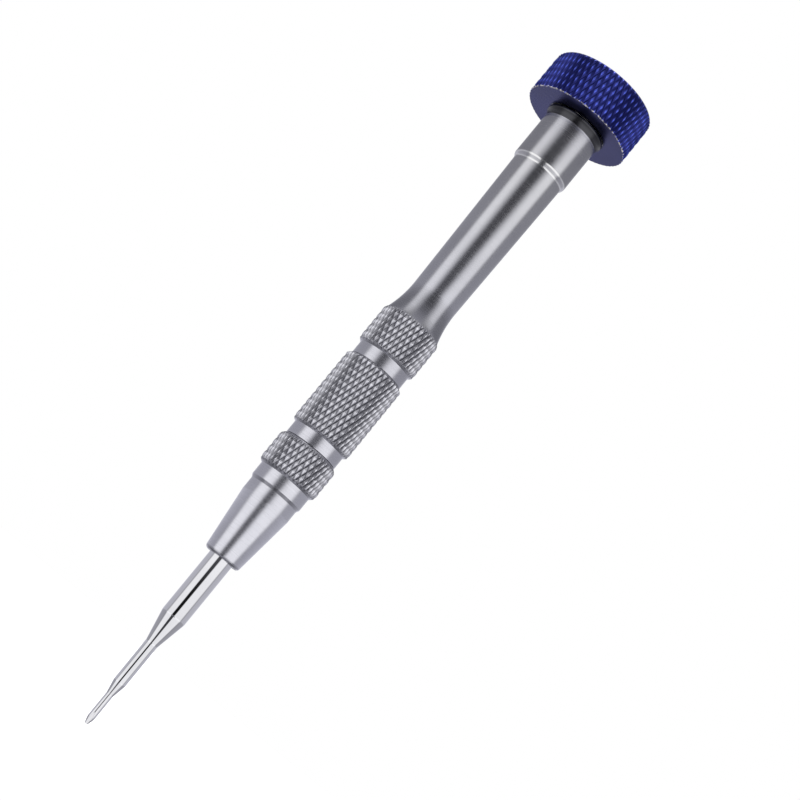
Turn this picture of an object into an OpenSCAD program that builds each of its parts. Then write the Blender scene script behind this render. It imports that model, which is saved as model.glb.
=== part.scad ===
// Precision screwdriver with a collet chuck, a fluted three-wing blade and a free-turning ball-bearing cap.
// Frame: origin at the end of the blade, +Z along the tool's axis towards the cap.
// Knurled bands are plain cylinders at the height of the knurl's crests.
// Threads are plain cylinders at their nominal size.

/* [Blade] */
// Length of blade that stands out of the chuck's nose
blade_reach = 29.9; // [26:0.1:34]
// Length of blade that sits inside the chuck
blade_grip_len = 16.1; // [14.5:0.1:16.3]
// Diameter of the blade's shank
shank_d = 4.0; // [3.9:0.05:4.0]
// Diameter of the slim middle stretch
waist_d = 2.0; // [1.6:0.1:2.4]
// Diameter of the thin end stretch
neck_d = 1.16; // [1.0:0.02:1.4]
// Diameter of the flat at the very end
end_d = 0.5; // [0.4:0.02:0.6]
// Length of the ground cone at the end
point_len = 0.8; // [0.6:0.05:1.0]
// Length over which the three flutes run out
flute_len = 2.05; // [1.8:0.05:2.4]

/* [Chuck sleeve] */
// Diameter across the crests of the sleeve's knurl
sleeve_knurl_d = 10.1; // [9.9:0.05:10.2]
// Length of the sleeve's knurl
sleeve_knurl_len = 4.6; // [4:0.1:5.2]
// Diameter of the plain band in front of the knurl
band_d = 8.82; // [8.6:0.02:9]
// Length of the plain band
band_len = 2.1; // [1.6:0.1:2.2]
// Diameter at the back of the nose
nose_back_d = 8.28; // [8.1:0.02:8.5]
// Diameter at the front of the nose
nose_front_d = 6.08; // [5.8:0.02:6.4]

/* [Handle] */
// Diameter across the crests of the handle's two knurls
knurl_d = 10.1; // [9.9:0.05:10.2]
// Length of the long middle knurl
grip_len = 12.4; // [11:0.1:14]
// Length of the short rear knurl
rear_knurl_len = 5.8; // [5:0.1:6.5]
// Diameter of the grooves between the knurls
groove_d = 8.95; // [8.6:0.05:9.2]
// Length of each groove
groove_len = 2.05; // [1.8:0.05:2.4]
// Smallest diameter, behind the rear knurl
barrel_min_d = 7.82; // [7.6:0.02:8]
// Diameter of the barrel where it meets the rear collar
barrel_max_d = 8.76; // [8.5:0.02:9]
// Diameter of the rear collar
collar_d = 9.5; // [9.2:0.05:9.6]
// Diameter of the rim that the collar flares out to under the cap
flare_d = 10.3; // [10:0.05:10.4]
// Radius of the hollow curve behind the rear knurl
waist_curve_r = 18; // [16:0.5:20]

/* [Cap] */
// Diameter across the crests of the cap's knurl
cap_d = 18.0; // [16.5:0.1:20]
// Height of the cap
cap_h = 7.3; // [7.2:0.1:8]
// Length of the tool from the blade's end to the cap's flat back
total_len = 122.7; // [122.4:0.1:124]

/* [Bearing] */
// Bore of the bearing
bearing_bore_d = 3.0; // [3:0.01:3.02]
// Outer diameter of the bearing
bearing_od = 10.0; // [9.98:0.01:10]
// Width of the bearing
bearing_w = 4.0; // [4:0.01:4.02]
// Diameter of each ball
ball_d = 1.588; // [1.57:0.002:1.6]
// Diameter of the circle through the balls' centres
pitch_d = 6.5; // [6.48:0.01:6.52]

/* [Hidden] */
balls = 7;
BALL_NODES = [for (i = [1:balls]) str("bearing_ball_", i)];
$fn = 96;

// Clearances
slide_gap = 0.02;
thread_gap = 0.05;
shoulder_gap = 0.06;

// Colours
gunmetal = [0.52, 0.52, 0.55];
anodised_blue = [0.10, 0.12, 0.42];
bright_steel = [0.82, 0.83, 0.85];
plain_brass = [0.78, 0.62, 0.32];
bearing_steel = [0.70, 0.71, 0.73];
cage_steel = [0.60, 0.58, 0.54];

// Stations along the chuck sleeve, from its nose face backwards
edge = 0.42;
nose_lip_r = 2.7;
band_step = 0.5;
knurl_step = 0.6;
groove_step = 0.5;
nose_z = blade_reach;
nose_back_z = nose_z + 10;
band_z0 = nose_back_z + 2 + band_step;
band_z1 = band_z0 + band_len;
sleeve_knurl_z0 = band_z1 + knurl_step;
sleeve_knurl_z1 = sleeve_knurl_z0 + sleeve_knurl_len;
sleeve_end_z = sleeve_knurl_z1 + knurl_step;

// Stations along the handle
shoulder_z = sleeve_end_z + shoulder_gap;
grip_z0 = sleeve_end_z + groove_len + groove_step;
grip_z1 = grip_z0 + grip_len;
rear_groove_z0 = grip_z1 + groove_step;
rear_groove_z1 = rear_groove_z0 + groove_len;
rear_knurl_z0 = rear_groove_z1 + knurl_step;
rear_knurl_z1 = rear_knurl_z0 + rear_knurl_len;
waist_z0 = rear_knurl_z1 + 0.4;
waist_z1 = waist_z0 + 5.4;

// Stations at the cap
cap_z1 = total_len;
cap_z0 = cap_z1 - cap_h;
cap_edge = 0.1;
cap_back_edge = 0.35;
cap_gap = 0.2;
spacer_h = 0.5;
collar_end_z = cap_z0 - cap_gap;
collar_z0 = collar_end_z - 9.1;
collar_bevel = 0.65;
flare_z0 = collar_end_z - 1.6;
flare_z1 = collar_end_z - 0.35;
bearing_z0 = collar_end_z + spacer_h;
bearing_z1 = bearing_z0 + bearing_w;
bearing_mid_z = (bearing_z0 + bearing_z1) / 2;
head_room = 1.3;

// Chuck inside sizes
spigot_d = 7.0;
spigot_z = nose_z + 13.1;
collet_z0 = nose_z + 3.3;
collet_seat_z0 = nose_z + 3.1;
collet_seat_z1 = nose_z + 11.6;
collet_seat_r0 = 2.45;
collet_seat_r1 = 3.1;
collet_clear = 0.03;
flange_z1 = spigot_z - 0.05;
collet_tail_r = 2.9;
collet_tail_z1 = spigot_z + 1.9;
collet_slots = 3;
slot_w = 0.6;
blade_back_z = nose_z + blade_grip_len;

// Bearing inside sizes
race_gap = 0.02;
pocket_gap = 0.04;
inner_land_r = pitch_d / 2 - 0.65;
outer_land_r = pitch_d / 2 + 0.65;
shield_seat_r = 4.36;
shield_lip_r = 4.22;
shield_depth = 0.45;
shield_t = 0.18;
clip_gap = 0.02;
cage_t = 0.12;
cage_r0 = 2.9;
cage_r1 = 3.6;
screw_head_r = 2.4;
screw_head_h = 1.1;
screw_len = 11.5;

// Points of an arc round [x, y], from angle a0 to a1 in n steps
function arc(x, y, r, a0, a1, n) = [for (i = [0:n]) let (a = a0 + (a1 - a0) * i / n) [x + r * cos(a), y + r * sin(a)]];

// Centre of the circle of radius r through p and q that lies on the side away from the axis
function far_centre(p, q, r) =
    let (d = q - p, m = (p + q) / 2, h = sqrt(r * r - (d * d) / 4))
    m + h * [d[1], -d[0]] / norm(d);

// Points of the hollow curve of radius r from p to q
function hollow(p, q, r, n) =
    let (c = far_centre(p, q, r), a0 = atan2(p[1] - c[1], p[0] - c[0]), a1 = atan2(q[1] - c[1], q[0] - c[0]))
    arc(c[0], c[1], r, a0 < 0 ? a0 + 360 : a0, a1 < 0 ? a1 + 360 : a1, n);

// A turned solid from an outline of [radius, height] points
module turned(outline) {
    rotate_extrude() polygon(outline);
}

// A plain tube from z0 to z1
module tube(r_out, r_in, z0, z1) {
    difference() {
        translate([0, 0, z0]) cylinder(r = r_out, h = z1 - z0);
        translate([0, 0, z0 - 1]) cylinder(r = r_in, h = z1 - z0 + 2);
    }
}

// A round hole's cutter from z0 to z1
module drill(r, z0, z1) {
    translate([0, 0, z0]) cylinder(r = r, h = z1 - z0);
}

module handle_outline() {
    thread_lead = 0.3;
    rim_edge = 0.08;
    waist = hollow([waist_top_r(), waist_z0], [barrel_min_d / 2, waist_z1], waist_curve_r, 12);
    turned(concat(
        [
            [0, spigot_z],
            [spigot_d / 2 - thread_lead, spigot_z],
            [spigot_d / 2, spigot_z + thread_lead],
            [spigot_d / 2, shoulder_z],
            [groove_d / 2, shoulder_z],
            [groove_d / 2, grip_z0 - groove_step],
            [knurl_d / 2, grip_z0],
            [knurl_d / 2, grip_z1],
            [groove_d / 2, rear_groove_z0],
            [groove_d / 2, rear_groove_z1],
            [knurl_d / 2, rear_knurl_z0],
            [knurl_d / 2, rear_knurl_z1]
        ],
        waist,
        [
            [barrel_max_d / 2, collar_z0 - collar_bevel],
            [collar_d / 2, collar_z0]
        ],
        flare(8),
        [
            [flare_d / 2, collar_end_z - rim_edge],
            [flare_d / 2 - rim_edge, collar_end_z],
            [0, collar_end_z]
        ]
    ));
}

// Points of the hollow curve, tangent to the collar, that widens it to the rim under the cap
function flare(n) =
    let (out = (flare_d - collar_d) / 2, rise = flare_z1 - flare_z0, r = (out * out + rise * rise) / (2 * out))
    arc(collar_d / 2 + r, flare_z0, r, 180, 180 - asin(rise / r), n);

// Radius where the hollow curve starts, tangent to the barrel at its thin end
function waist_top_r() =
    barrel_min_d / 2 + waist_curve_r - sqrt(pow(waist_curve_r, 2) - pow(waist_z1 - waist_z0, 2));

module handle_body() {
    color(gunmetal) difference() {
        handle_outline();
        drill(collet_tail_r + thread_gap, spigot_z - 1, collet_tail_z1 + 0.1);
        drill(shank_d / 2 + slide_gap + 0.01, spigot_z, blade_back_z + 0.4);
        drill(bearing_bore_d / 2, bearing_z1 - screw_len - 0.5, collar_end_z + 1);
    }
}

module chuck_sleeve() {
    color(gunmetal) difference() {
        turned([
            [0, nose_z],
            [nose_lip_r, nose_z],
            [nose_front_d / 2 - 0.08, nose_z + edge / 2],
            [nose_front_d / 2, nose_z + edge],
            [nose_back_d / 2, nose_back_z],
            [nose_back_d / 2, band_z0 - band_step],
            [band_d / 2, band_z0],
            [band_d / 2, band_z1],
            [sleeve_knurl_d / 2, sleeve_knurl_z0],
            [sleeve_knurl_d / 2, sleeve_knurl_z1],
            [groove_d / 2, sleeve_end_z],
            [0, sleeve_end_z]
        ]);
        drill(shank_d / 2 + 0.08, nose_z - 1, collet_seat_z1);
        translate([0, 0, collet_seat_z0])
            cylinder(r1 = collet_seat_r0, r2 = collet_seat_r1, h = collet_seat_z1 - collet_seat_z0);
        drill(collet_seat_r1, collet_seat_z1 - 0.01, spigot_z - 0.5);
        drill(spigot_d / 2 + thread_gap, spigot_z - 0.8, sleeve_end_z + 1);
    }
}

// Radius of the sleeve's conical seat at height z
function seat_r(z) =
    collet_seat_r0 + (collet_seat_r1 - collet_seat_r0) * (z - collet_seat_z0) / (collet_seat_z1 - collet_seat_z0);

module collet() {
    slot_end_z = spigot_z - 0.1;
    cone_z1 = collet_seat_z1 - 0.1;
    color(plain_brass) difference() {
        turned([
            [0, collet_z0],
            [seat_r(collet_z0) - collet_clear, collet_z0],
            [seat_r(cone_z1) - collet_clear, cone_z1],
            [seat_r(cone_z1) - collet_clear, flange_z1],
            [collet_tail_r, flange_z1],
            [collet_tail_r, collet_tail_z1],
            [0, collet_tail_z1]
        ]);
        drill(shank_d / 2 + slide_gap, collet_z0 - 1, collet_tail_z1 + 1);
        for (i = [0:collet_slots - 1])
            rotate([0, 0, i * 360 / collet_slots])
                translate([0, -slot_w / 2, collet_z0 - 1])
                    cube([spigot_d, slot_w, slot_end_z - collet_z0 + 1]);
    }
}

// Cutter of one flute: a 120-degree groove whose bottom line leaves the web and runs out at the neck's skin
module flute() {
    web_r = 0.10;
    reach = 3;
    side = 2;
    tilt = atan((neck_d / 2 - web_r) / flute_len);
    translate([web_r, 0, 0])
        rotate([0, tilt, 0])
            translate([0, 0, -1])
                linear_extrude(height = reach + 1)
                    polygon([[0, 0], [side, side * tan(60)], [side, -side * tan(60)]]);
}

module blade() {
    back_edge = 0.3;
    point_d = 1.02;
    color(bright_steel) difference() {
        turned([
            [0, 0],
            [end_d / 2, 0],
            [point_d / 2, point_len],
            [neck_d / 2, point_len + 0.4],
            [neck_d / 2, 5.2],
            [waist_d / 2, 7.3],
            [waist_d / 2, 14.4],
            [shank_d / 2, 19.2],
            [shank_d / 2, blade_back_z - back_edge],
            [shank_d / 2 - back_edge, blade_back_z],
            [0, blade_back_z]
        ]);
        for (i = [0:2])
            rotate([0, 0, i * 120 - 90]) flute();
    }
}

module cap_shell() {
    mouth_edge = 0.25;
    head_recess_r = 3.5;
    color(anodised_blue) difference() {
        turned([
            [0, cap_z0],
            [cap_d / 2 - cap_edge, cap_z0],
            [cap_d / 2, cap_z0 + cap_edge],
            [cap_d / 2, cap_z1 - cap_back_edge],
            [cap_d / 2 - cap_back_edge, cap_z1],
            [0, cap_z1]
        ]);
        translate([0, 0, cap_z0])
            cylinder(r1 = bearing_od / 2 + mouth_edge, r2 = bearing_od / 2, h = mouth_edge);
        drill(bearing_od / 2, cap_z0 - 1, bearing_z1);
        drill(head_recess_r, bearing_z1 - 0.5, bearing_z1 + head_room);
    }
}

// The circular groove that the balls run in
module raceway() {
    translate([0, 0, bearing_mid_z])
        rotate_extrude() translate([pitch_d / 2, 0]) circle(r = ball_d / 2 + race_gap);
}

module bearing_outer_ring() {
    lip_h = 0.06;
    color(bearing_steel) difference() {
        tube(bearing_od / 2, outer_land_r, bearing_z0, bearing_z1);
        raceway();
        for (flip = [0, 1])
            translate([0, 0, bearing_mid_z]) mirror([0, 0, flip]) {
                translate([0, 0, bearing_w / 2 - shield_depth])
                    cylinder(r = shield_seat_r, h = shield_depth - lip_h);
                translate([0, 0, bearing_w / 2 - shield_depth])
                    cylinder(r = shield_lip_r, h = shield_depth + 1);
            }
    }
}

module bearing_inner_ring() {
    color(bearing_steel) difference() {
        tube(inner_land_r, bearing_bore_d / 2, bearing_z0, bearing_z1);
        raceway();
    }
}

// Places its children in the lower (0) or the upper (1) half of the bearing, measured from the middle plane
module bearing_half(upper) {
    translate([0, 0, bearing_mid_z]) mirror([0, 0, 1 - upper]) children();
}

// A round bar of radius r that points outwards through ball number i and spans the cage
module radial_bar(i, r) {
    overrun = 0.3;
    rotate([0, 0, i * 360 / balls])
        translate([cage_r0 - overrun, 0, 0])
            rotate([0, 90, 0]) cylinder(r = r, h = cage_r1 - cage_r0 + 2 * overrun);
}

// One pressed half of the cage: a flat ribbon with a half-round cup over each ball
module cage_half() {
    cup_r = ball_d / 2 + pocket_gap;
    cup_top = cup_r + cage_t;
    difference() {
        intersection() {
            tube(cage_r1, cage_r0, 0, cup_top + cage_t);
            union() {
                drill(cage_r1 + 1, -1, cage_t);
                for (i = [0:balls - 1]) radial_bar(i, cup_top);
            }
        }
        for (i = [0:balls - 1]) radial_bar(i, cup_r);
    }
}

module shield() {
    inner_gap = 0.12;
    z0 = bearing_w / 2 - shield_depth;
    tube(shield_seat_r - clip_gap, inner_land_r + inner_gap, z0, z0 + shield_t);
}

// The split wire ring that holds a shield under the outer ring's lip
module shield_clip() {
    clip_w = 0.22;
    clip_t = 0.18;
    mouth = 0.8;
    z0 = bearing_w / 2 - shield_depth + shield_t;
    difference() {
        tube(shield_seat_r - clip_gap, shield_seat_r - clip_w, z0, z0 + clip_t);
        translate([0, -mouth / 2, z0 - 1]) cube([bearing_od, mouth, clip_t + 2]);
    }
}

module bearing_spacer() {
    color(bright_steel) tube(inner_land_r - 0.2, bearing_bore_d / 2 + thread_gap, collar_end_z, bearing_z0);
}

module bearing_screw() {
    recess_l = 2.6;
    recess_w = 0.5;
    recess_h = 0.65;
    head_edge = 0.25;
    shank_r = bearing_bore_d / 2 - slide_gap;
    head_top = bearing_z1 + screw_head_h;
    color(bearing_steel) difference() {
        turned([
            [0, bearing_z1 - screw_len],
            [shank_r - head_edge, bearing_z1 - screw_len],
            [shank_r, bearing_z1 - screw_len + head_edge],
            [shank_r, bearing_z1],
            [screw_head_r, bearing_z1],
            [screw_head_r, head_top - head_edge],
            [screw_head_r - head_edge, head_top],
            [0, head_top]
        ]);
        for (a = [0, 90])
            rotate([0, 0, a])
                translate([-recess_l / 2, -recess_w / 2, head_top - recess_h])
                    cube([recess_l, recess_w, recess_h + 1]);
    }
}

// Ball number i, counted from the +X axis
module bearing_ball(i) {
    color(bright_steel)
        rotate([0, 0, (i - 1) * 360 / balls])
            translate([pitch_d / 2, 0, bearing_mid_z]) sphere(r = ball_d / 2);
}

handle_body();
chuck_sleeve();
collet();
blade();
cap_shell();
bearing_outer_ring();
bearing_inner_ring();
color(cage_steel) bearing_half(0) cage_half();  // bearing_cage_lower
color(cage_steel) bearing_half(1) cage_half();  // bearing_cage_upper
color(bearing_steel) bearing_half(0) shield();  // bearing_shield_lower
color(bearing_steel) bearing_half(1) shield();  // bearing_shield_upper
color(bright_steel) bearing_half(0) shield_clip();  // shield_clip_lower
color(bright_steel) bearing_half(1) shield_clip();  // shield_clip_upper
bearing_spacer();
bearing_screw();
for (i = [1:balls])
    bearing_ball(i);
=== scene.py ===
"""Looks of a precision screwdriver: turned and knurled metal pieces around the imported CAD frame.

Lengths are in millimetres until a mesh is made, and metres in Blender. The tool's axis is Z, with the
blade's end at the origin and the finger cap at the top.
"""

import math

import bpy
import numpy as np
from mathutils import Matrix, Vector


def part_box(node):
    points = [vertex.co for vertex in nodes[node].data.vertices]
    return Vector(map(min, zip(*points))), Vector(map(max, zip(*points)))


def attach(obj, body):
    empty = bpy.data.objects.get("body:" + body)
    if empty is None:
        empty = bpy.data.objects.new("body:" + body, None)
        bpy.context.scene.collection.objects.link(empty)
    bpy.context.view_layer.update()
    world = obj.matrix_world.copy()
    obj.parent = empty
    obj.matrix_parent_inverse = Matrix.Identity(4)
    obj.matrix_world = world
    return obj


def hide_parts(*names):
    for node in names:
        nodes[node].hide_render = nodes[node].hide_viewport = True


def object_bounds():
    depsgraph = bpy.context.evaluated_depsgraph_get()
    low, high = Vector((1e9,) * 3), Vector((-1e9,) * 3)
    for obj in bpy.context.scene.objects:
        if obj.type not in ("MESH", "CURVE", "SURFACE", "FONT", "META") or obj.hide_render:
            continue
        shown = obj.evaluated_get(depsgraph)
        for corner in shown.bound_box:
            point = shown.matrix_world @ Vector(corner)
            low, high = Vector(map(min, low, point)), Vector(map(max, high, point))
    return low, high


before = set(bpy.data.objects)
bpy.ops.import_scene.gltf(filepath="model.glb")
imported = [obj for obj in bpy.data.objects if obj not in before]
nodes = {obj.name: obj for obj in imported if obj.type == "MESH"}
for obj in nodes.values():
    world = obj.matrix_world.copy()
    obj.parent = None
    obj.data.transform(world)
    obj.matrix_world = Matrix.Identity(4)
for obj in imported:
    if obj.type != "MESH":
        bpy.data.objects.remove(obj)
cad_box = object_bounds()

MM = 0.001
TINY = 1e-6
FULL_TURN = 2 * math.pi

# ---------------------------------------------------------------- sizes from the frame


def box_mm(node):
    """Lowest and highest corner of a CAD node, in millimetres."""
    low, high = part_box(node)
    return low / MM, high / MM


sleeve_low, sleeve_high = box_mm("chuck_sleeve")
handle_low, handle_high = box_mm("handle_body")
cap_low, cap_high = box_mm("cap_shell")
BLADE_BACK = box_mm("blade")[1].z
BEARING_TOP = box_mm("bearing_outer_ring")[1].z

SLEEVE_R = sleeve_high.x
RIM_R = handle_high.x
HANDLE_R = RIM_R - 0.10
CAP_R = cap_high.x

# ---------------------------------------------------------------- camera

# All in millimetres, apart from the angles. The aim is a point beside the tool's axis.
LENS = 78.26
SENSOR = 36.0
CAMERA_TILT = math.radians(11.06)
CAMERA_ROLL = math.radians(39.136)
CAMERA_DISTANCE = 258.28
AIM_ASIDE = 5.58
AIM_HEIGHT = 64.7


def make_camera():
    """A long-lens camera that looks slightly up at the tool and is rolled so that the tool leans right."""
    data = bpy.data.cameras.new("camera")
    data.lens = LENS
    data.sensor_width = SENSOR
    data.clip_start = 0.01
    data.clip_end = 50.0
    camera = bpy.data.objects.new("camera", data)
    bpy.context.scene.collection.objects.link(camera)
    forward = Vector((0.0, math.cos(CAMERA_TILT), math.sin(CAMERA_TILT)))
    side = Vector((1.0, 0.0, 0.0))
    up = side.cross(forward)
    right_rolled = math.cos(CAMERA_ROLL) * side + math.sin(CAMERA_ROLL) * up
    up_rolled = math.cos(CAMERA_ROLL) * up - math.sin(CAMERA_ROLL) * side
    aim = Vector((AIM_ASIDE, 0.0, AIM_HEIGHT))
    place = (aim - forward * CAMERA_DISTANCE) * MM
    turn = Matrix((right_rolled, up_rolled, -forward)).transposed()
    camera.matrix_world = Matrix.Translation(place) @ turn.to_4x4()
    bpy.context.scene.camera = camera


# ---------------------------------------------------------------- outlines


def arc_through(p, q, radius, steps):
    """Points of the hollow curve from p to q, its centre on the side away from the axis."""
    p, q = np.array(p, float), np.array(q, float)
    d = q - p
    half = np.linalg.norm(d) / 2
    out = np.array([d[1], -d[0]]) / (2 * half)
    centre = (p + q) / 2 + math.sqrt(radius ** 2 - half ** 2) * out
    start, end = (math.atan2(y, x) % FULL_TURN for x, y in (p - centre, q - centre))
    angles = np.linspace(start, end, steps + 1)
    return [tuple(centre + radius * np.array([math.cos(a), math.sin(a)])) for a in angles]


# How far outside a rounding its extra point lies, and the largest share of a side that a rounding takes.
SUPPORT = 0.05
SIDE_SHARE = 0.45


def rounded(corners, steps=4):
    """Rounds a closed outline. Each corner is (radius, height, rounding); 0 leaves it sharp.

    A point is added just outside each rounding, so that the long faces beside it shade flat."""
    count = len(corners)
    result = []
    for i, (x, y, size) in enumerate(corners):
        here = np.array([x, y], float)
        before = np.array(corners[i - 1][:2], float) - here
        after = np.array(corners[(i + 1) % count][:2], float) - here
        room_before, room_after = np.linalg.norm(before), np.linalg.norm(after)
        if size <= 0:
            result.append((x, y))
            continue
        u, v = before / room_before, after / room_after
        between = math.acos(max(-1.0, min(1.0, float(u @ v))))
        reach = min(size / math.tan(between / 2), SIDE_SHARE * room_before, SIDE_SHARE * room_after)
        radius = reach * math.tan(between / 2)
        middle = (u + v) / np.linalg.norm(u + v)
        centre = here + middle * radius / math.sin(between / 2)
        start, end = here + u * reach - centre, here + v * reach - centre
        if reach + SUPPORT < 0.5 * room_before:
            result.append(tuple(here + u * (reach + SUPPORT)))
        for t in np.linspace(0.0, 1.0, steps + 1):
            way = start * (1 - t) + end * t
            result.append(tuple(centre + radius * way / np.linalg.norm(way)))
        if reach + SUPPORT < 0.5 * room_after:
            result.append(tuple(here + v * (reach + SUPPORT)))
    return result


class Knurl:
    """A diamond knurl: two crossed sets of spiral V grooves cut below the crest radius.

    `slope` is a groove's run round the piece over its rise, `flat` the crest's share of the pitch, and
    `shallow` the share of the depth that one set lacks, as when the other wheel bites first."""

    CELL = 12    # mesh cells to a groove

    def __init__(self, z0, z1, crest, around, depth, slope, flat, shallow=0.0):
        self.z0, self.z1, self.crest = z0, z1, crest
        self.around, self.depth, self.flat, self.shallow = around, depth, flat, shallow
        self.pitch = FULL_TURN * crest / around / slope

    def height(self, angle, z):
        """0 at the bottom of a groove, 1 on a crest."""
        turn = angle * self.around / FULL_TURN
        along = (z - self.z0) / self.pitch
        falling = 1 - np.abs(2 * ((turn + along) % 1.0) - 1)
        climbing = 1 - np.abs(2 * ((turn - along) % 1.0) - 1)
        falling = self.shallow + (1 - self.shallow) * np.minimum(1.0, falling / (1 - self.flat))
        climbing = np.minimum(1.0, climbing / (1 - self.flat))
        return np.minimum(falling, climbing)

    def radius(self, angle, z):
        """The surface's distance from the axis."""
        return self.crest - self.depth * (1 - self.height(angle, z))

    def rings(self):
        """Heights that the mesh needs a ring at."""
        step = self.pitch / self.CELL
        return [self.z0 + step * i for i in range(1, int((self.z1 - self.z0) / step) + 1)]


def with_rings(outline, knurls, outer):
    """Adds the knurls' rings to the stretches of the outline that face outwards."""
    result = []
    count = len(outline)
    for i, (r0, z0) in enumerate(outline):
        r1, z1 = outline[(i + 1) % count]
        result.append((r0, z0))
        if z1 <= z0 or min(r0, r1) < outer:
            continue
        for knurl in knurls:
            for z in knurl.rings():
                if z0 + TINY < z < z1 - TINY and knurl.z0 <= z <= knurl.z1:
                    result.append((r0 + (r1 - r0) * (z - z0) / (z1 - z0), z))
    return result


# ---------------------------------------------------------------- meshes


HARD_EDGE = math.radians(35)    # edges that turn by more than this stay hard


def add_mesh(name, points, faces, flat_faces, attributes):
    """A mesh object from points in millimetres, with the given faces flat and a number per point."""
    mesh = bpy.data.meshes.new(name)
    mesh.from_pydata((np.asarray(points) * MM).tolist(), [], faces)
    mesh.update()
    smooth = np.ones(len(mesh.polygons), bool)
    smooth[flat_faces] = False
    mesh.polygons.foreach_set("use_smooth", smooth)
    for key, values in attributes.items():
        layer = mesh.attributes.new(key, "FLOAT", "POINT")
        layer.data.foreach_set("value", np.asarray(values, np.float32))
    mesh.set_sharp_from_angle(angle=HARD_EDGE)
    piece = bpy.data.objects.new(name, mesh)
    bpy.context.scene.collection.objects.link(piece)
    return piece


def knurled_ring(r, z, angles, knurls, outer):
    """Radius and knurl height of each point of a ring, and 1.0 if a knurl covers the ring."""
    radius = np.full(len(angles), float(r))
    height = np.ones(len(angles))
    covered = 0.0
    for knurl in knurls:
        if r >= outer and knurl.z0 <= z <= knurl.z1:
            radius = np.minimum(radius, knurl.radius(angles, z))
            height = knurl.height(angles, z)
            covered = 1.0
    return radius, height, covered


def nearness(r, z, edges):
    """1 on one of the edges (radius, height, reach), falling to 0 at its reach."""
    near = [1.0 - math.hypot(r - edge_r, z - edge_z) / reach for edge_r, edge_z, reach in edges]
    return max([0.0] + near)


def split_cell(crest, a, b, c, d):
    """Two triangles, folded where the heights agree best, so that grooves and crests stay straight."""
    if abs(crest[b] - crest[d]) < abs(crest[a] - crest[c]):
        return [(a, b, d), (b, c, d)]
    return [(a, b, c), (a, c, d)]


def wall_faces(rings, crest, band):
    """Faces between each ring and the next one round, and the numbers of those that shade flat."""
    faces, flat = [], []
    for low, high in zip(rings, rings[1:] + rings[:1]):
        knurled = band[low[0]] and band[high[0]]
        for a, b, c, d in zip(low, low[1:] + low[:1], high[1:] + high[:1], high):
            if a == b and c == d:
                continue
            if a == b:
                faces.append((a, c, d))
            elif c == d:
                faces.append((a, b, c))
            elif knurled:
                flat += [len(faces), len(faces) + 1]
                faces += split_cell(crest, a, b, c, d)
            else:
                faces.append((a, b, c, d))
    return faces, flat


def turned(name, outline, segments, knurls=(), outer=0.0, shape=None, bare=(), shade_from=math.inf):
    """A closed turned piece. The outline runs round the half section with its outer side going up.

    Points nearer the axis than `outer` are never knurled. `shape(angle, radius, z)` may cut the surface back.
    `bare` lists (radius, height, reach) of edges where the finish is cut through to bright metal.
    Above the height where the painted shade starts, the surface is marked for painted shade, a darkening that
    stands in for the shade under the cap."""
    angles = np.arange(segments) * FULL_TURN / segments
    points, rings = [], []
    marks = {"crest": [], "knurl_band": [], "bare_edge": [], "painted_shade": []}
    for r, z in with_rings(outline, knurls, outer):
        if r < TINY:
            rings.append([len(points)] * segments)
            points.append((0.0, 0.0, z))
            height, covered, bright, shaded_here = [1.0], 0.0, 0.0, 0.0
        else:
            radius, height, covered = knurled_ring(r, z, angles, knurls, outer)
            if shape:
                radius = shape(angles, radius, z)
            rings.append(list(range(len(points), len(points) + segments)))
            points += zip(radius * np.cos(angles), radius * np.sin(angles), np.full(segments, z))
            bright, shaded_here = nearness(r, z, bare), float(z > shade_from)
        marks["crest"] += list(height)
        for key, value in (("knurl_band", covered), ("bare_edge", bright), ("painted_shade", shaded_here)):
            marks[key] += [value] * len(height)
    faces, flat = wall_faces(rings, marks["crest"], marks["knurl_band"])
    return add_mesh(name, points, faces, flat, marks)


# ---------------------------------------------------------------- materials


class Graph:
    """Short calls for building a node tree."""

    def __init__(self, tree):
        self.tree = tree

    def add(self, kind, **settings):
        node = self.tree.nodes.new(kind)
        for key, value in settings.items():
            setattr(node, key, value)
        return node

    def link(self, source, target):
        self.tree.links.new(source, target)

    def put(self, value, socket):
        if isinstance(value, bpy.types.NodeSocket):
            self.link(value, socket)
        else:
            socket.default_value = value

    def math(self, operation, *values):
        node = self.add("ShaderNodeMath", operation=operation)
        for socket, value in zip(node.inputs, values):
            self.put(value, socket)
        return node.outputs[0]

    def remap(self, value, low, high, to_low, to_high, kind="LINEAR"):
        node = self.add("ShaderNodeMapRange", interpolation_type=kind)
        keys = ("Value", "From Min", "From Max", "To Min", "To Max")
        for key, number in zip(keys, (value, low, high, to_low, to_high)):
            self.put(number, node.inputs[key])
        return node.outputs["Result"]

    def mix(self, factor, a, b):
        node = self.add("ShaderNodeMix", data_type="RGBA")
        for index, value in ((0, factor), (6, a), (7, b)):
            self.put(value, node.inputs[index])
        return node.outputs[2]


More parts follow.
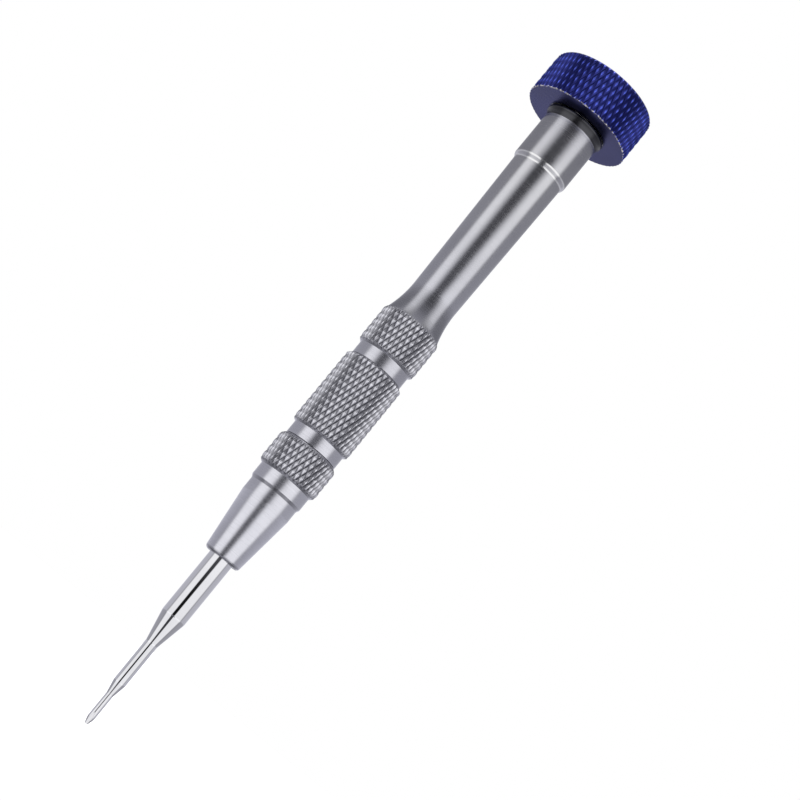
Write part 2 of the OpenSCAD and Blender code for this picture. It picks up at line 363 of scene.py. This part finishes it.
class Surface(Graph):
    """A material's node tree, with its one shader."""

    def __init__(self, name):
        self.material = bpy.data.materials.new(name)
        self.material.use_nodes = True
        super().__init__(self.material.node_tree)
        self.shader = self.tree.nodes["Principled BSDF"]

    def noise(self, vector, scale, detail, rough):
        node = self.add("ShaderNodeTexNoise")
        self.put(vector, node.inputs["Vector"])
        node.inputs["Scale"].default_value = scale
        node.inputs["Detail"].default_value = detail
        node.inputs["Roughness"].default_value = rough
        return node.outputs["Fac"]

    def place(self):
        return self.add("ShaderNodeTexCoord").outputs["Object"]

    def squeezed(self, x, y, z):
        """Object coordinates scaled by axis, for streaks."""
        node = self.add("ShaderNodeMapping")
        self.link(self.place(), node.inputs["Vector"])
        node.inputs["Scale"].default_value = (x, y, z)
        return node.outputs["Vector"]

    def attribute(self, name):
        return self.add("ShaderNodeAttribute", attribute_name=name).outputs["Fac"]

    def bump(self, height, distance):
        node = self.add("ShaderNodeBump")
        node.inputs["Strength"].default_value = 1.0
        node.inputs["Distance"].default_value = distance
        self.link(height, node.inputs["Height"])
        self.link(node.outputs["Normal"], self.shader.inputs["Normal"])


def grey(value):
    return (value, value, value, 1.0)


def tinted(value, blue):
    """A neutral colour with a slight cool or warm cast."""
    return (value, value, value * blue, 1.0)


# Scales of the noise that breaks up the metal, per metre: turning rings, colour drift, fine grain, the
# rubbing of the knurls' crests, and the ragged line where a finish is cut through.
RING_STRETCH = (60, 60, 9000)
DRIFT_SCALE, GRAIN_SCALE, RUB_SCALE, TEAR_SCALE = 180.0, 6000.0, 1400.0, 3200.0
GRAIN_IN_GLOSS, GRAIN_IN_BUMP = 0.4, 0.10
KNURL_ROUGHER = 0.10
COAT_ROUGHNESS = 0.22


def turned_metal(name, base, dark, roughness, line_depth, knurl=None, bare=None, painted_shade=None, coat=0.0):
    """Turned metal: fine rings left by the tool, slow colour drift, rubbed knurl crests and cut-bright edges.

    `knurl` is (crest colour, groove colour); a groove colour darker than the metal is painted shade. `bare`
    is (colour, how much of the edge is patchy).
    The painted shade colour darkens the surface that is marked as lying in shade. `line_depth` is in
    millimetres."""
    n = Surface(name)
    rings = n.noise(n.squeezed(*RING_STRETCH), 1.0, 2.0, 0.6)
    patches = n.noise(n.place(), DRIFT_SCALE, 4.0, 0.55)
    specks = n.noise(n.place(), GRAIN_SCALE, 2.0, 0.6)
    colour = n.mix(n.remap(patches, 0.3, 0.7, 0.0, 1.0), base, dark)
    colour = n.mix(n.remap(rings, 0.35, 0.65, 0.0, 0.25), colour, dark)
    gloss = n.math("MULTIPLY_ADD", specks, GRAIN_IN_GLOSS, rings)
    rough = n.remap(gloss, 0.5, 0.9, 0.85 * roughness, 1.25 * roughness)
    # Painted shade: the marked surface takes a dark colour that stands in for shade.
    if painted_shade:
        colour = n.mix(n.attribute("painted_shade"), colour, painted_shade)
    if knurl:
        band = n.attribute("knurl_band")
        crest = n.attribute("crest")
        uneven = n.remap(n.noise(n.place(), RUB_SCALE, 3.0, 0.6), 0.3, 0.7, 0.35, 1.0)
        # Painted shade: the knurl's grooves take the groove colour, by how low they lie.
        low = n.math("MULTIPLY", band, n.remap(crest, 0.0, 0.62, 1.0, 0.0))
        high = n.math("MULTIPLY", band, n.remap(crest, 0.58, 0.88, 0.0, 1.0))
        colour = n.mix(low, colour, knurl[1])
        colour = n.mix(n.math("MULTIPLY", high, uneven), colour, knurl[0])
        rough = n.math("MULTIPLY_ADD", band, KNURL_ROUGHER, rough)
    if bare:
        edge = n.attribute("bare_edge")
        torn = n.remap(n.noise(n.place(), TEAR_SCALE, 2.0, 0.7), 0.45, 0.55, 1.0 - bare[1], 1.0)
        cut = n.math("MULTIPLY", n.remap(edge, 0.0, 0.4, 0.0, 1.0), torn)
        colour = n.mix(cut, colour, bare[0])
        rough = n.math("MULTIPLY", rough, n.remap(cut, 0.0, 1.0, 1.0, 0.7))
    n.link(colour, n.shader.inputs["Base Color"])
    n.link(rough, n.shader.inputs["Roughness"])
    n.shader.inputs["Metallic"].default_value = 1.0
    n.shader.inputs["Coat Weight"].default_value = coat
    n.shader.inputs["Coat Roughness"].default_value = COAT_ROUGHNESS
    n.bump(n.math("ADD", rings, n.math("MULTIPLY", specks, GRAIN_IN_BUMP)), line_depth * MM)
    return n.material


def handle_metal():
    return turned_metal("gunmetal_anodised", tinted(0.50, 1.06), tinted(0.44, 1.07), 0.23, 0.0008,
                        # the handle's knurl groove colour is painted shade in the grooves
                        knurl=(tinted(0.68, 1.04), tinted(0.17, 1.12)), bare=(grey(0.56), 0.0),
                        # painted shade for the flare under the cap, darker than the metal
                        painted_shade=tinted(0.05, 1.10))


def cap_metal():
    return turned_metal("blue_anodised", (0.025, 0.030, 0.19, 1), (0.020, 0.024, 0.15, 1), 0.28, 0.0015,
                        knurl=((0.14, 0.20, 1.0, 1), (0.024, 0.031, 0.19, 1)),
                        bare=((0.80, 0.76, 0.70, 1), 1.0), coat=0.10)


def blade_metal():
    return turned_metal("polished_blade_steel", tinted(0.56, 1.02), tinted(0.51, 1.02), 0.05, 0.0001)


def brass_metal():
    return turned_metal("turned_brass", (0.76, 0.56, 0.26, 1), (0.66, 0.46, 0.20, 1), 0.25, 0.002)


def ground_steel(name, tone, roughness):
    return turned_metal(name, grey(tone), grey(tone * 0.88), roughness, 0.001)


# ---------------------------------------------------------------- pieces

GROOVE_R = 4.475    # bottom of the grooves beside the knurled bands
GRIP_AROUND, GRIP_SLOPE = 37, 0.366
CAP_AROUND, CAP_SLOPE = 62, 0.312
EDGE = 0.08         # rounding of the turned shoulders
RUN_OUT = 0.45      # how far a knurl runs on over the chamfer beside its band


def grip_knurl(z0, z1, crest):
    """The knurl of the handle's bands and of the sleeve."""
    return Knurl(z0, z1, crest, GRIP_AROUND, depth=0.28, slope=GRIP_SLOPE, flat=0.20, shallow=0.12)


def finish_piece(piece, body, node, material):
    piece.data.materials.append(material)
    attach(piece, body)
    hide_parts(node)


def make_handle(material):
    """The turned handle: spigot, two knurled bands, grooves, waist, barrel, collar and flare."""
    foot, top = handle_low.z, handle_high.z
    shoulder_gap, front_groove, grip_length, rear_groove, rear_length = 0.06, 2.55, 12.4, 3.15, 5.8
    grip_chamfer, rear_chamfer, waist_run_out = 0.5, 0.6, 0.38
    shoulder = sleeve_high.z + shoulder_gap
    grip_0 = sleeve_high.z + front_groove
    grip_1 = grip_0 + grip_length
    rear_0 = grip_1 + rear_groove
    rear_1 = rear_0 + rear_length
    barrel_low_r, barrel_high_r, collar_r = 3.91, 4.38, 4.75
    waist_gap, waist_length, waist_curve = 0.4, 5.4, 18
    waist_0 = rear_1 + waist_gap
    waist_1 = waist_0 + waist_length
    waist_r = barrel_low_r + waist_curve - math.sqrt(waist_curve ** 2 - waist_length ** 2)
    waist = arc_through((waist_r, waist_0), (barrel_low_r, waist_1), waist_curve, 16)
    collar_length, rim_height = 9.1, 0.35
    collar_0 = top - collar_length
    bevel, bevel_rounding, bevel_shine = 0.65, 0.6, 0.25
    flare_foot, flare_curve = top - 1.6, 2.153
    flare = arc_through((collar_r, flare_foot), (RIM_R, top - rim_height), flare_curve, 12)
    spigot_r, seat_r, shank_r, screw_r = 3.5, 2.95, 2.03, 1.5
    seat_depth, spigot_chamfer, screw_depth = 2.0, 0.3, 8
    shank_end = BLADE_BACK + 0.4
    outline = rounded([
        (0.0, shank_end, 0), (shank_r, shank_end, 0), (shank_r, foot + seat_depth, 0),
        (seat_r, foot + seat_depth, 0), (seat_r, foot, 0.05),
        (spigot_r - spigot_chamfer, foot, 0.05), (spigot_r, foot + spigot_chamfer, 0.05),
        (spigot_r, shoulder, 0),
        (GROOVE_R, shoulder, EDGE), (GROOVE_R, grip_0 - grip_chamfer, 0.04),
        (HANDLE_R, grip_0, 0), (HANDLE_R, grip_1, 0),
        (GROOVE_R, grip_1 + grip_chamfer, 0.04), (GROOVE_R, rear_0 - rear_chamfer, 0.04),
        (HANDLE_R, rear_0, 0), (HANDLE_R, rear_1, 0),
        *[(r, z, 0.0) for r, z in waist],
        (barrel_high_r, collar_0 - bevel, bevel_rounding), (collar_r, collar_0, bevel_rounding),
        *[(r, z, 0.0) for r, z in flare], (RIM_R, top, 0.06),
        (screw_r, top, 0.1), (screw_r, top - screw_depth, 0), (0.0, top - screw_depth, 0),
    ])
    knurls = [
        grip_knurl(grip_0 - RUN_OUT, grip_1 + RUN_OUT, HANDLE_R),
        grip_knurl(rear_0 - RUN_OUT, rear_1 + waist_run_out, HANDLE_R),
    ]
    bare = [(barrel_high_r, collar_0 - bevel, bevel_shine), (collar_r, collar_0, bevel_shine)]
    # The flare under the cap is marked for painted shade.
    piece = turned("handle_turned", outline, GRIP_AROUND * Knurl.CELL, knurls, outer=GROOVE_R + 0.01,
                   bare=bare, shade_from=flare_foot + 0.2)
    finish_piece(piece, "handle", "handle_body", material)


def make_sleeve(material):
    """The chuck sleeve: rounded end, long cone, plain band and short knurl, and the collet's seat."""
    nose, back = sleeve_low.z, sleeve_high.z
    cone_length, band_start, band_length, knurl_gap, knurl_length = 10, 12.5, 2.1, 0.6, 4.6
    band_0 = nose + band_start
    band_1 = band_0 + band_length
    knurl_0 = band_1 + knurl_gap
    knurl_1 = knurl_0 + knurl_length
    nose_back_r, band_r = 4.14, 4.41
    blade_r, cone_r, collet_r, thread_r = 2.08, 2.45, 3.1, 3.55
    lip, collet_0, thread_0 = nose + 3.1, nose + 11.6, nose + 12.3
    outline = rounded([
        (blade_r, nose, 0.05), (2.7, nose, 0.10), (2.96, nose + 0.21, 0.10), (3.04, nose + 0.42, 0.10),
        (nose_back_r, nose + cone_length, 2.0), (nose_back_r, band_0 - 0.5, 0.03),
        (band_r, band_0, EDGE), (band_r, band_1, 0.03),
        (SLEEVE_R, knurl_0, 0), (SLEEVE_R, knurl_1, 0), (GROOVE_R, back, 0.04),
        (thread_r, back, 0.1), (thread_r, thread_0, 0), (collet_r, thread_0, 0), (collet_r, collet_0, 0),
        (cone_r, lip, 0), (blade_r, lip, 0),
    ])
    knurls = [grip_knurl(knurl_0 - 0.5, knurl_1 + 0.5, SLEEVE_R)]
    piece = turned("sleeve_turned", outline, GRIP_AROUND * Knurl.CELL, knurls, outer=band_r + 0.01)
    finish_piece(piece, "sleeve", "chuck_sleeve", material)


def make_cap(material):
    """The finger cap: knurled rim, flat faces, and the bearing's pocket."""
    low, high = cap_low.z, cap_high.z
    roof = BEARING_TOP + 1.3
    bearing_r, relief_r = 5.0, 3.5
    front_chamfer, back_chamfer, mouth_chamfer = 0.1, 0.35, 0.25
    outline = rounded([
        (bearing_r + mouth_chamfer, low, 0), (CAP_R - 0.25, low, 0), (CAP_R - front_chamfer, low, 0.03),
        (CAP_R, low + front_chamfer, 0),
        (CAP_R, high - back_chamfer, 0), (CAP_R - back_chamfer, high, 0.05),
        (0.0, high, 0), (0.0, roof, 0), (relief_r, roof, 0), (relief_r, BEARING_TOP, 0),
        (bearing_r, BEARING_TOP, 0), (bearing_r, low + mouth_chamfer, 0),
    ])
    knurls = [Knurl(low, high, CAP_R, CAP_AROUND, depth=0.26, slope=CAP_SLOPE, flat=0.14)]
    bare = [(CAP_R - front_chamfer / 2, low + front_chamfer / 2, 0.14)]
    piece = turned("cap_turned", outline, CAP_AROUND * Knurl.CELL, knurls, outer=CAP_R - 0.12, bare=bare)
    finish_piece(piece, "cap", "cap_shell", material)


NECK_R = 0.58           # the blade's thin neck
FLUTE_WEB = 0.10        # from the axis to a flute's floor at the blade's end
FLUTE_RUN_OUT = 2.05    # height at which a flute's floor meets the neck's skin


def flute_cut(angles, radius, z):
    """Cuts the three 120-degree flutes back from the round blade."""
    floor = FLUTE_WEB + (NECK_R - FLUTE_WEB) * z / FLUTE_RUN_OUT
    if floor > NECK_R:
        return radius
    third, sixth = FULL_TURN / 3, FULL_TURN / 6
    off = np.abs((angles + FULL_TURN / 4 + sixth) % third - sixth)
    wall = floor * math.sin(sixth) / np.maximum(np.sin(sixth - off), 1e-4)
    return np.minimum(radius, wall)


def make_blade(material):
    """The blade: shank, slim middle, thin neck and the ground, fluted end."""
    back = BLADE_BACK
    shank_r, slim_r, end_r = 2.0, 1.0, 0.25
    outline = rounded([
        (0.0, 0.0, 0), (end_r, 0.0, 0.02), (0.51, 0.8, 0.1), (NECK_R, 1.2, 0.1), (NECK_R, 5.2, 0.8),
        (slim_r, 7.3, 0.8), (slim_r, 14.4, 2.0), (shank_r, 19.2, 2.0),
        (shank_r, back - 0.3, 0.05), (shank_r - 0.3, back, 0.05), (0.0, back, 0),
    ], steps=6)
    fine_until, fine_step = 2.2, 0.08
    rings = []
    for (r0, z0), (r1, z1) in zip(outline, outline[1:]):
        steps = max(1, int((z1 - z0) / fine_step)) if z0 < fine_until else 1
        rings += [(r0 + (r1 - r0) * s / steps, z0 + (z1 - z0) * s / steps) for s in range(steps)]
    rings.append(outline[-1])
    piece = turned("blade_turned", rings, 192, shape=flute_cut)
    finish_piece(piece, "blade", "blade", material)


def dress_inner_pieces():
    """Materials for the CAD pieces that keep their shape, by how their nodes' names start."""
    ring = ground_steel("bearing_ring_steel", 0.62, 0.18)
    materials = {
        "collet": brass_metal(),
        "bearing_outer_ring": ring,
        "bearing_inner_ring": ring,
        "bearing_cage": ground_steel("cage_ribbon_steel", 0.48, 0.32),
        "bearing_shield": ground_steel("shield_steel", 0.55, 0.28),
        "shield_clip": ground_steel("clip_wire_steel", 0.60, 0.25),
        "bearing_spacer": ground_steel("spacer_steel", 0.60, 0.30),
        "bearing_screw": ground_steel("zinc_screw_steel", 0.45, 0.35),
        "bearing_ball": ground_steel("ball_steel", 0.72, 0.06),
    }
    for name, piece in nodes.items():
        for start, material in materials.items():
            if name.startswith(start):
                piece.data.materials.clear()
                piece.data.materials.append(material)


# ---------------------------------------------------------------- floor, world and lights


FLOOR_DROP = 25.0           # how far the floor lies under the blade's end, in millimetres
GLOW_REACH = (0.05, 0.45)   # from where to where the floor brightens, in metres from the tool's axis


def make_floor():
    """A plain pale floor that brightens outwards, so that it meets the white background without a line."""
    size = 6.0
    mesh = bpy.data.meshes.new("floor")
    corners = [(-size, -size, 0), (size, -size, 0), (size, size, 0), (-size, size, 0)]
    mesh.from_pydata(corners, [], [(0, 1, 2, 3)])
    floor = bpy.data.objects.new("floor", mesh)
    bpy.context.scene.collection.objects.link(floor)
    floor.location.z = cad_box[0].z - FLOOR_DROP * MM
    n = Surface("pale_floor")
    n.shader.inputs["Base Color"].default_value = grey(0.8)
    n.shader.inputs["Roughness"].default_value = 0.9
    n.shader.inputs["Emission Color"].default_value = grey(1.0)
    reach = n.add("ShaderNodeVectorMath", operation="LENGTH")
    n.link(n.place(), reach.inputs[0])
    glow = n.remap(reach.outputs["Value"], *GLOW_REACH, 0.45, 1.0)
    n.link(glow, n.shader.inputs["Emission Strength"])
    mesh.materials.append(n.material)
    floor.visible_glossy = False


# Brightness of the grey behind the tool, the two soft boxes, the weak pair at the rear, and what lies over
# and under them all.
BACK_LEVEL, BOX_LEVEL, REAR_LEVEL, CEILING_LEVEL = 0.60, 1.50, 0.30, 0.45

# The studio is set out in degrees of bearing, from the camera's side, and of elevation. A pair of numbers is
# where a change starts and where it ends. A box's inner edge is the bearing where its light starts and that
# line's lean, then the bearing where it is full and that line's lean, each per degree of elevation.
LEFT_EDGE = (20.0, -0.30, 23.0, 1.30)
RIGHT_EDGE = (1.0, 0.70, 4.0, 2.10)
OUTER_EDGE = (64.5, 83.0)
FOOT_EDGE = (-62.0, -16.0)
LEAN_TOP = 18.0                                    # elevation where the lean ends
STEP_EDGE, STEP = (16.0, 21.0), 5.0                # one more step outwards, near the top of the lean
DIP_AT, DIP, DIP_SLOPE = -9.0, 9.0, 1.5            # the edge leans out again round this elevation
BEHIND = (71.0, 87.0)                              # bearing where the camera's side gives way to the grey
REAR_INNER, REAR_OUTER = (154.0, 162.0), (170.0, 177.0)    # bearings that bound each weak rear box
CEILING_EDGE = (34.0, 46.0)
GROUND_EDGE = (-70.0, -55.0)
DIM_EDGE, DIMMEST = (8.0, 24.0), 0.68              # everything gets dimmer higher up
BOX_TINT, ROOM_TINT = (0.98, 0.98, 1.0, 1), (0.94, 0.94, 1.04, 1)


def soft_box(g, bearing, elevation, edge):
    """How bright one big soft box is in a direction, 0 to 1.

    `bearing` grows from the camera's side towards the box. The inner edge gets softer and moves with height
    up to LEAN_TOP, and once more round DIP_AT, below the horizon. The outer edge is upright."""
    start, start_lean, full, full_lean = edge
    dip = g.math("ABSOLUTE", g.math("SUBTRACT", elevation, DIP_AT))
    dip = g.math("MAXIMUM", g.math("MULTIPLY_ADD", dip, -DIP_SLOPE, DIP), 0.0)
    height = g.math("MINIMUM", g.math("MAXIMUM", elevation, dip), LEAN_TOP)
    step = g.remap(elevation, *STEP_EDGE, 0.0, STEP)
    low = g.math("ADD", g.math("MULTIPLY_ADD", height, start_lean, start), step)
    high = g.math("ADD", g.math("MULTIPLY_ADD", height, full_lean, full), step)
    inner = g.remap(bearing, low, high, 0.0, 1.0)
    outer = g.remap(bearing, *OUTER_EDGE, 1.0, 0.0, "SMOOTHSTEP")
    foot = g.remap(elevation, *FOOT_EDGE, 0.0, 1.0, "SMOOTHSTEP")
    return g.math("MULTIPLY", g.math("MULTIPLY", inner, outer), foot)


def front_level(g, elevation, tilt):
    """The camera's side between the boxes: nearly black on the level, lighter a few degrees above and below
    it, dim beyond that, and a little lighter again high up."""
    front = g.math("MULTIPLY", g.remap(tilt, 2.0, 5.5, 0.01, 0.30), g.remap(tilt, 9.0, 14.0, 1.0, 0.30))
    return g.math("ADD", front, g.remap(elevation, 22.0, 36.0, 0.0, 0.22))


def back_level(g, elevation, tilt):
    """The grey behind the tool: lightest on the level, dimmer high up and much dimmer towards the floor."""
    back = g.math("MULTIPLY", g.remap(tilt, 3.0, 7.0, 1.4, 1.0), g.remap(elevation, 14.0, 21.0, 1.0, 0.7))
    return g.math("MULTIPLY", back, g.remap(elevation, -45.0, -15.0, 0.35 * BACK_LEVEL, BACK_LEVEL))


def studio_level(g, bearing, elevation, boxes):
    """The studio's brightness in a direction, with the boxes, the rear pair, the ceiling and the ground."""
    tilt = g.math("ABSOLUTE", elevation)
    away = g.math("ABSOLUTE", bearing)
    front = front_level(g, elevation, tilt)
    back = back_level(g, elevation, tilt)
    behind = g.remap(away, *BEHIND, 0.0, 1.0, "SMOOTHSTEP")
    level = g.math("MULTIPLY_ADD", behind, g.math("SUBTRACT", back, front), front)
    level = g.math("ADD", level, boxes)
    rear = g.remap(away, *REAR_INNER, 0.0, REAR_LEVEL)
    rear = g.math("MULTIPLY", rear, g.remap(away, *REAR_OUTER, 1.0, 0.0))
    level = g.math("ADD", level, rear)
    level = g.math("MULTIPLY", level, g.remap(elevation, *DIM_EDGE, 1.0, DIMMEST))
    ceiling = g.remap(elevation, *CEILING_EDGE, 0.0, 1.0, "SMOOTHSTEP")
    ground = g.remap(elevation, *GROUND_EDGE, 1.0, 0.0, "SMOOTHSTEP")
    outside = g.math("ADD", ceiling, ground)
    return g.math("MULTIPLY_ADD", outside, g.math("SUBTRACT", CEILING_LEVEL, level), level)


def make_world():
    """A white background for the camera, and a studio for the metal to reflect: two soft boxes beside the
    camera with dark between them, grey behind the tool, a weak pair of boxes at the rear, and one even
    grey over and under it all."""
    world = bpy.data.worlds.new("studio")
    bpy.context.scene.world = world
    world.use_nodes = True
    g = Graph(world.node_tree)
    g.tree.nodes.clear()
    parts = g.add("ShaderNodeSeparateXYZ")
    g.link(g.add("ShaderNodeTexCoord").outputs["Generated"], parts.inputs[0])
    towards_camera = g.math("MULTIPLY", parts.outputs["Y"], -1.0)
    bearing = g.math("DEGREES", g.math("ARCTAN2", parts.outputs["X"], towards_camera))
    elevation = g.math("DEGREES", g.math("ARCSINE", parts.outputs["Z"]))
    left = soft_box(g, g.math("MULTIPLY", bearing, -1.0), elevation, LEFT_EDGE)
    right = soft_box(g, bearing, elevation, RIGHT_EDGE)
    boxes = g.math("MULTIPLY", g.math("ADD", left, right), BOX_LEVEL)
    seen, room = g.add("ShaderNodeBackground"), g.add("ShaderNodeBackground")
    seen.inputs["Color"].default_value = grey(1.0)
    g.link(g.mix(boxes, ROOM_TINT, BOX_TINT), room.inputs["Color"])
    g.link(studio_level(g, bearing, elevation, boxes), room.inputs["Strength"])
    pick = g.add("ShaderNodeMixShader")
    g.link(g.add("ShaderNodeLightPath").outputs["Is Camera Ray"], pick.inputs[0])
    g.link(room.outputs[0], pick.inputs[1])
    g.link(seen.outputs[0], pick.inputs[2])
    g.link(pick.outputs[0], g.add("ShaderNodeOutputWorld").inputs[0])


def make_light():
    """One wide soft light overhead, for a faint shadow on the floor."""
    data = bpy.data.lights.new("overhead", "AREA")
    data.shape = "SQUARE"
    data.size = 0.5
    data.energy = 2.0
    light = bpy.data.objects.new("overhead", data)
    bpy.context.scene.collection.objects.link(light)
    light.location = (-0.1, 0.1, 0.9)


make_camera()
metal = handle_metal()
make_handle(metal)
make_sleeve(metal)
make_cap(cap_metal())
make_blade(blade_metal())
dress_inner_pieces()
make_floor()
make_world()
make_light()
bpy.context.scene.view_settings.view_transform = "Standard"
